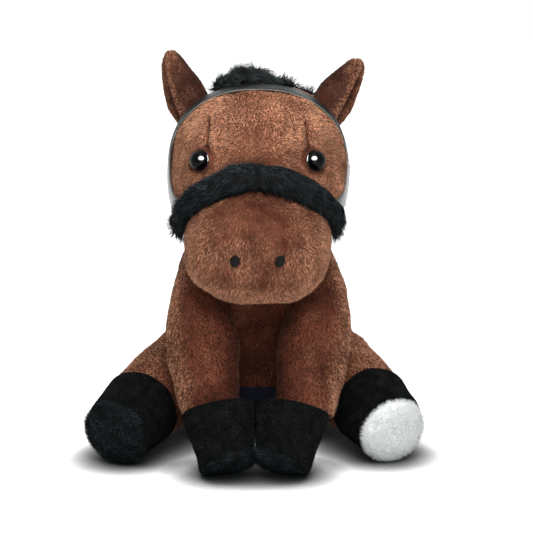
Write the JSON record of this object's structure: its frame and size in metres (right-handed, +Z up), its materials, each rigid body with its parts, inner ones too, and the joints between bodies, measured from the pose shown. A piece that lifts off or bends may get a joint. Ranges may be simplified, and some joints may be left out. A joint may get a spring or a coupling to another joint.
{
  "type": "plush horse",
  "caption": "Seated plush horse with a strap bridle, noseband roll, felt socks, girth and saddle cloth; its head, ears, legs and tail give at soft joints.",
  "frame": {"origin": "centre of the flat patch that the horse sits on, under the middle of its belly", "axes": "+Z up, -Y the way the horse looks, +X its own left side"},
  "size_m": [0.1542, 0.1747, 0.1847],
  "materials": {
    "brown_plush": "matte",
    "black_felt": "matte",
    "black_plush": "matte",
    "white_plush": "matte",
    "stuffing": "matte",
    "glossy_strap": "gloss",
    "eye_plastic": "gloss",
    "washer_plastic": "satin",
    "embroidery": "satin",
    "long_pile": "satin",
    "blue_cloth": "satin"
  },
  "bodies": {
    "torso": {"body_skin": "brown_plush", "body_fill": "stuffing", "saddle_cloth": "blue_cloth", "girth": "blue_cloth"},
    "head": {"head_skin": "brown_plush", "head_fill": "stuffing", "eye_left": "eye_plastic", "eye_washer_left": "washer_plastic", "eye_right": "eye_plastic", "eye_washer_right": "washer_plastic", "nostril_left": "embroidery", "nostril_right": "embroidery", "noseband": "black_plush", "head_strap": "glossy_strap", "mane_forelock": "long_pile", "mane_crest": "long_pile"},
    "ear_left": {"ear_left": "brown_plush"},
    "ear_right": {"ear_right": "brown_plush"},
    "front_leg_left": {"front_leg_left_skin": "brown_plush", "front_leg_left_sock": "black_felt", "front_leg_left_sole": "black_plush", "front_leg_left_fill": "stuffing"},
    "front_leg_right": {"front_leg_right_skin": "brown_plush", "front_leg_right_sock": "black_felt", "front_leg_right_sole": "black_plush", "front_leg_right_fill": "stuffing"},
    "hind_leg_left": {"hind_leg_left_skin": "brown_plush", "hind_leg_left_sock": "black_felt", "hind_leg_left_sole": "white_plush", "hind_leg_left_fill": "stuffing"},
    "hind_leg_right": {"hind_leg_right_skin": "brown_plush", "hind_leg_right_sock": "black_felt", "hind_leg_right_sole": "black_plush", "hind_leg_right_fill": "stuffing"},
    "tail": {"tail": "long_pile"}
  },
  "joints": [
    {"name": "head_nod", "type": "hinge", "parent": "torso", "child": "head", "pos_m": [0, -0.014, 0.097], "axis": [1, 0, 0], "range_deg": [-5, 3], "stiffness_Nm_per_rad": 0.5},
    {"name": "ear_left_fold", "type": "hinge", "parent": "head", "child": "ear_left", "pos_m": [0.0321, -0.0141, 0.1555], "axis": [1, 0, 0], "range_deg": [-12, 12], "stiffness_Nm_per_rad": 0.01},
    {"name": "ear_right_fold", "type": "hinge", "parent": "head", "child": "ear_right", "pos_m": [-0.0321, -0.0141, 0.1555], "axis": [1, 0, 0], "range_deg": [-12, 12], "stiffness_Nm_per_rad": 0.01},
    {"name": "front_leg_left_swing", "type": "hinge", "parent": "torso", "child": "front_leg_left", "pos_m": [0, -0.02, 0.078], "axis": [1, 0, 0], "range_deg": [0, 6], "stiffness_Nm_per_rad": 0.1},
    {"name": "front_leg_right_swing", "type": "hinge", "parent": "torso", "child": "front_leg_right", "pos_m": [0, -0.02, 0.078], "axis": [1, 0, 0], "range_deg": [0, 6], "stiffness_Nm_per_rad": 0.1},
    {"name": "hind_leg_left_lift", "type": "hinge", "parent": "torso", "child": "hind_leg_left", "pos_m": [0, 0, 0.0395], "axis": [-1, 0, 0], "range_deg": [0, 8], "stiffness_Nm_per_rad": 0.15},
    {"name": "hind_leg_right_lift", "type": "hinge", "parent": "torso", "child": "hind_leg_right", "pos_m": [0, 0, 0.0395], "axis": [-1, 0, 0], "range_deg": [0, 8], "stiffness_Nm_per_rad": 0.15},
    {"name": "tail_lift", "type": "hinge", "parent": "torso", "child": "tail", "pos_m": [0, 0.0377, 0.032], "axis": [1, 0, 0], "range_deg": [0, 25], "stiffness_Nm_per_rad": 0.01}
  ]
}
